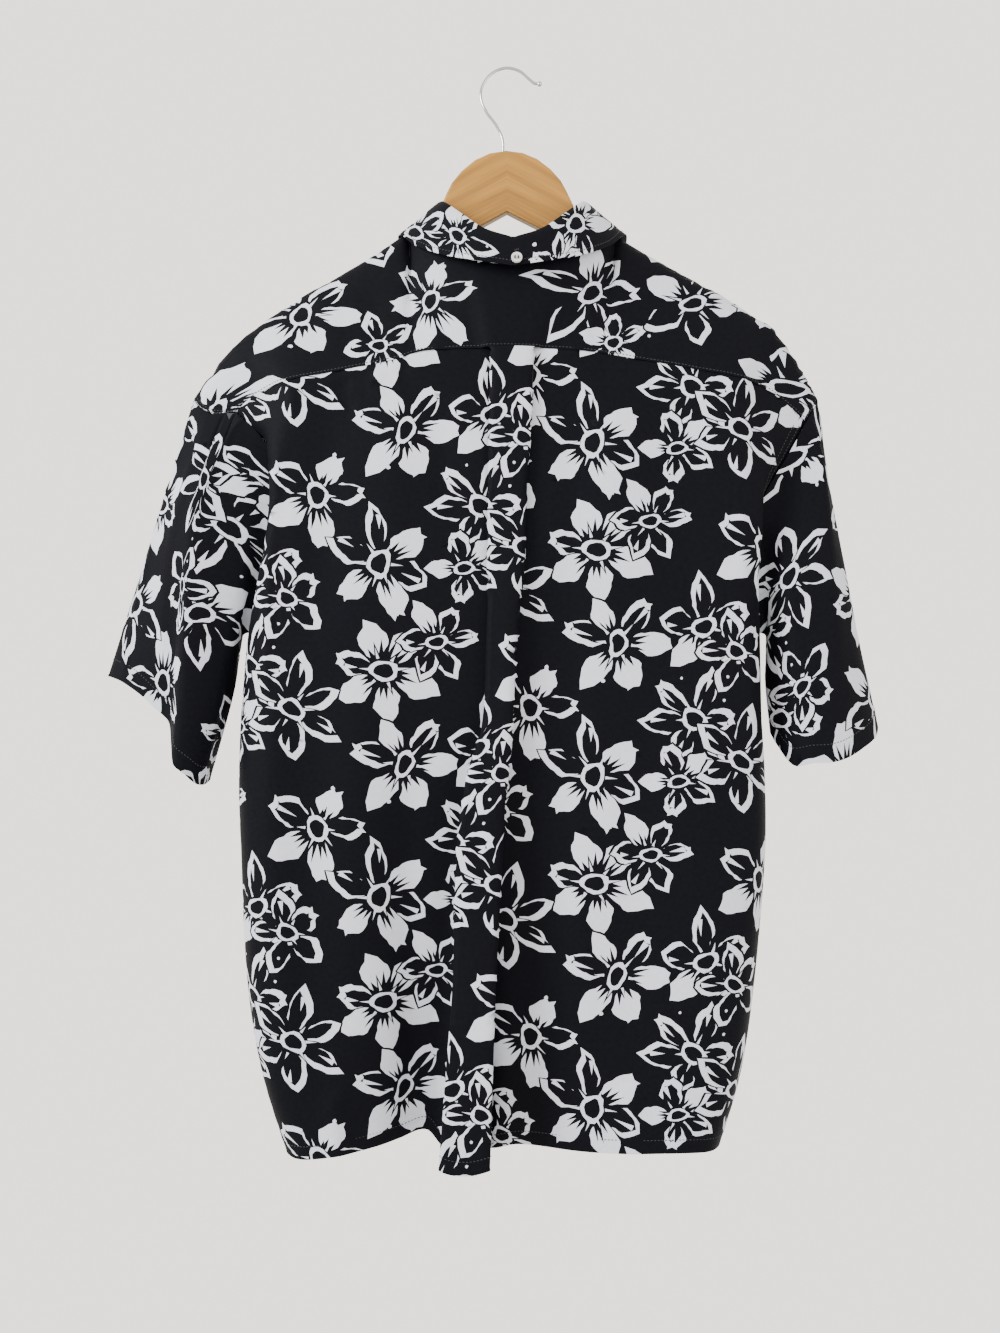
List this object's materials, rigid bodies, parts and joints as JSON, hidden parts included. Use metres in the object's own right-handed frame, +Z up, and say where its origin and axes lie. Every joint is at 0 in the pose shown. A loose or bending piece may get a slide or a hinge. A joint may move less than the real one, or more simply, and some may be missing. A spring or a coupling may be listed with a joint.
{
  "type": "hawaiian shirt on a wooden hanger",
  "caption": "Short-sleeved flower-print shirt with a turned-down collar, back yoke and box pleat, hanging on a wooden hanger with a wire hook.",
  "frame": {"origin": "underside of the hook's crown, where it rests on the hook or rod that holds it", "axes": "+Z up; the front of the shirt faces -Y and its back faces +Y; +X is the wearer's left"},
  "size_m": [0.6979, 0.1239, 0.9727],
  "materials": {
    "print_cloth": "soft woven cloth, black with a pale flower print",
    "button": "semi-gloss",
    "hanger_wood": "satin varnish",
    "hook_wire": "bright plated wire"
  },
  "bodies": {
    "root": {"back_panel": "print_cloth", "back_yoke": "print_cloth", "left_front": "print_cloth", "right_front": "print_cloth", "front_placket": "print_cloth", "left_sleeve": "print_cloth", "right_sleeve": "print_cloth", "collar_stand": "print_cloth", "collar_leaf": "print_cloth", "front_button_1": "button", "front_button_2": "button", "front_button_3": "button", "front_button_4": "button", "front_button_5": "button", "front_button_6": "button", "back_collar_button": "button", "hanger_wood": "hanger_wood", "hanger_hook": "hook_wire"}
  },
  "joints": []
}
